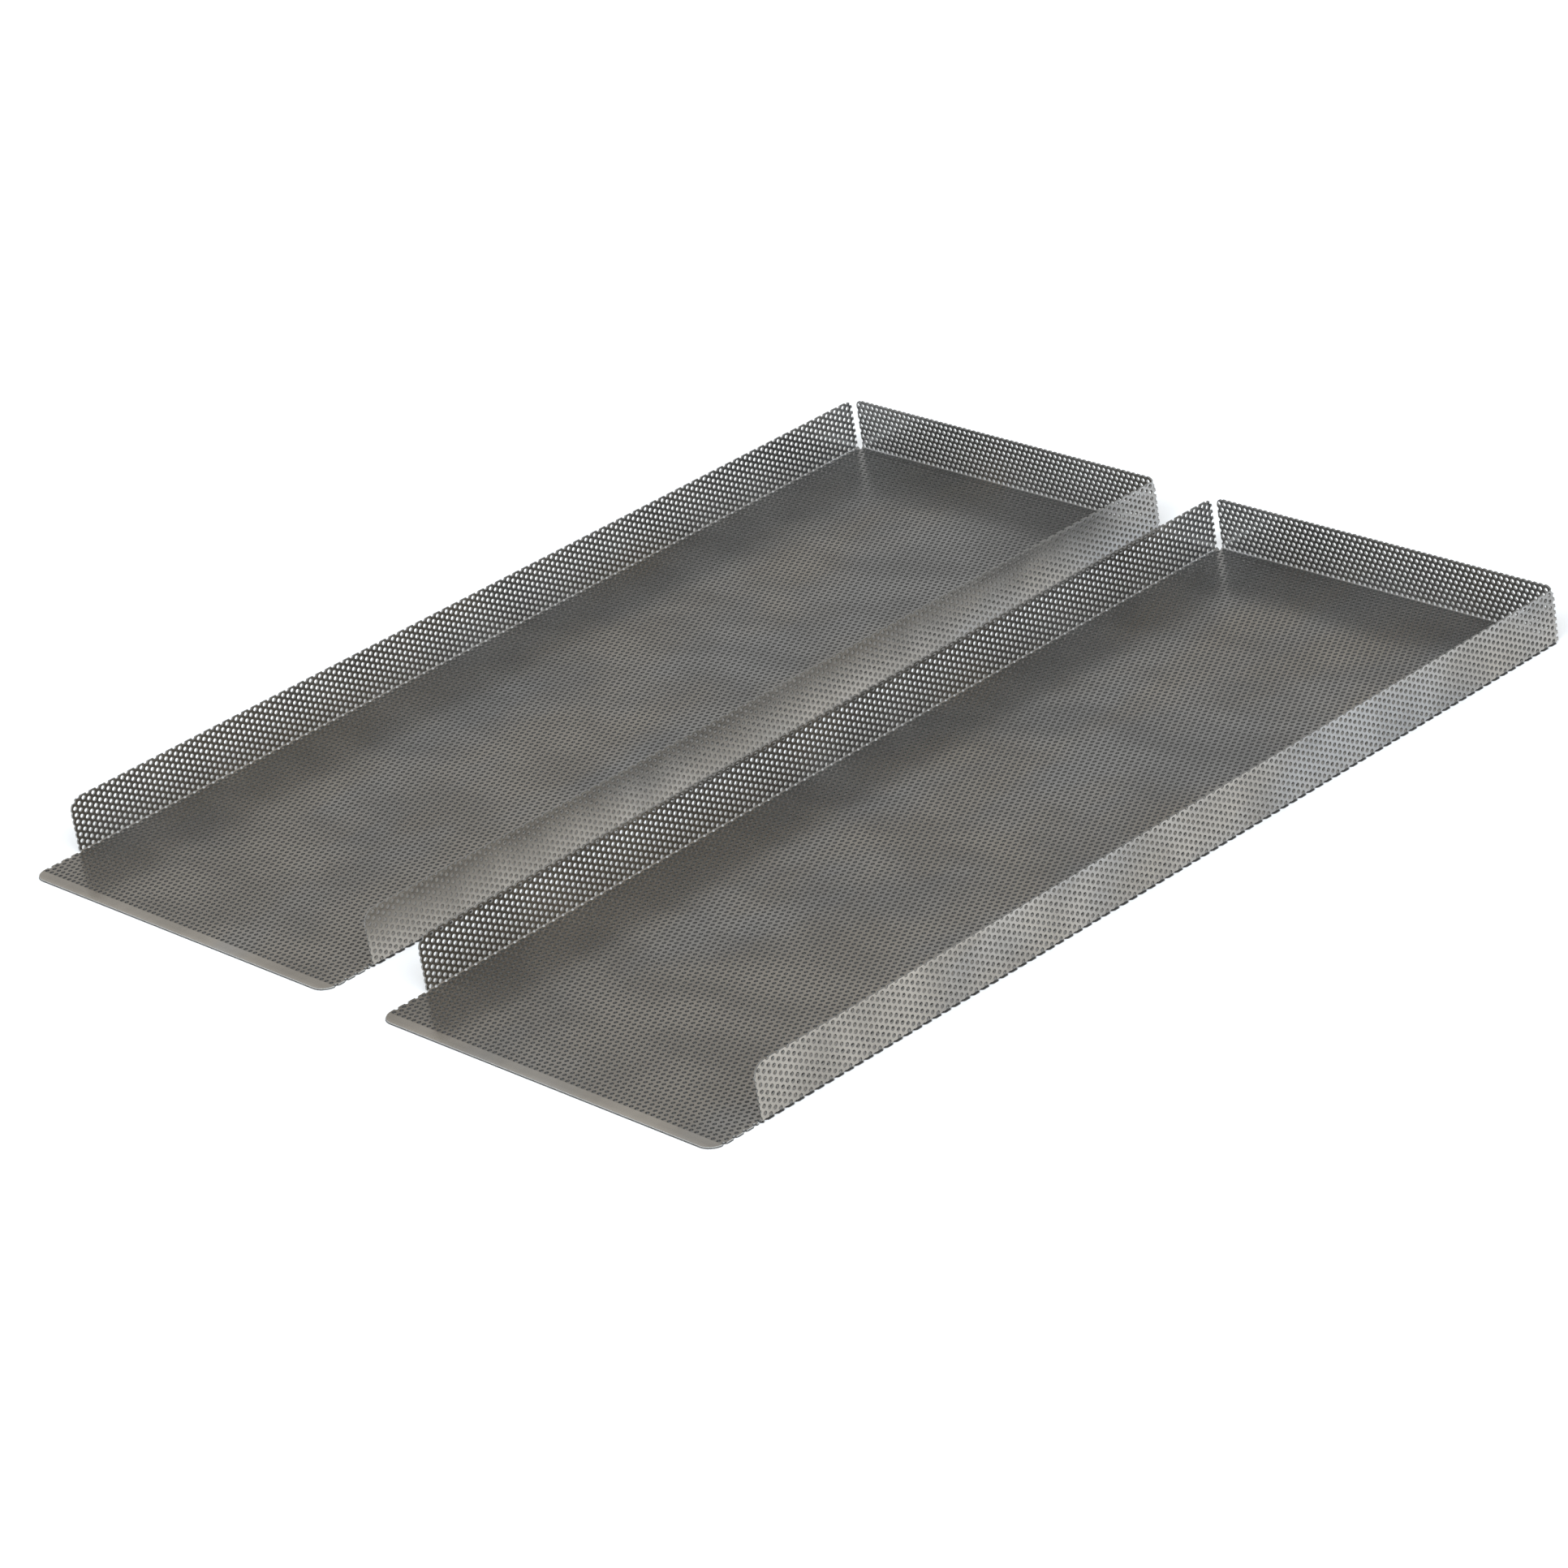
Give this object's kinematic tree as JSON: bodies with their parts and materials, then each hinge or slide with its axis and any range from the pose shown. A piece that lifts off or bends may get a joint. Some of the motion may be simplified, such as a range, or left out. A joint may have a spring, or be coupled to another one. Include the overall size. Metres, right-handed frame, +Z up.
{
  "type": "baguette tray",
  "caption": "Low perforated sheet-metal trays, open at the front with a plain lip and walled on the other sides, for proving, baking and cooling baguettes.",
  "frame": {"origin": "middle of the pair of trays, on the surface that they rest on", "axes": "+X to the right across the trays, +Y from the open front lips to the rear walls, +Z up"},
  "size_m": [0.5598, 0.6524, 0.0325],
  "materials": {
    "perforated_stainless": "satin stainless sheet with small round punched holes in a 60 degree stagger, thin bright cut edges",
    "plain_stainless": "satin stainless sheet without holes, fine scuffs from handling"
  },
  "bodies": {
    "left_tray": {"left_tray_floor": "perforated_stainless", "left_tray_front_lip": "plain_stainless", "left_tray_left_wall": "perforated_stainless", "left_tray_right_wall": "perforated_stainless", "left_tray_rear_wall": "perforated_stainless"},
    "right_tray": {"right_tray_floor": "perforated_stainless", "right_tray_front_lip": "plain_stainless", "right_tray_left_wall": "perforated_stainless", "right_tray_right_wall": "perforated_stainless", "right_tray_rear_wall": "perforated_stainless"}
  },
  "joints": [
    {"name": "right_tray_lift", "type": "slide", "parent": "left_tray", "child": "right_tray", "axis": [0, 0, 1], "range_m": [0, 0.15]}
  ]
}
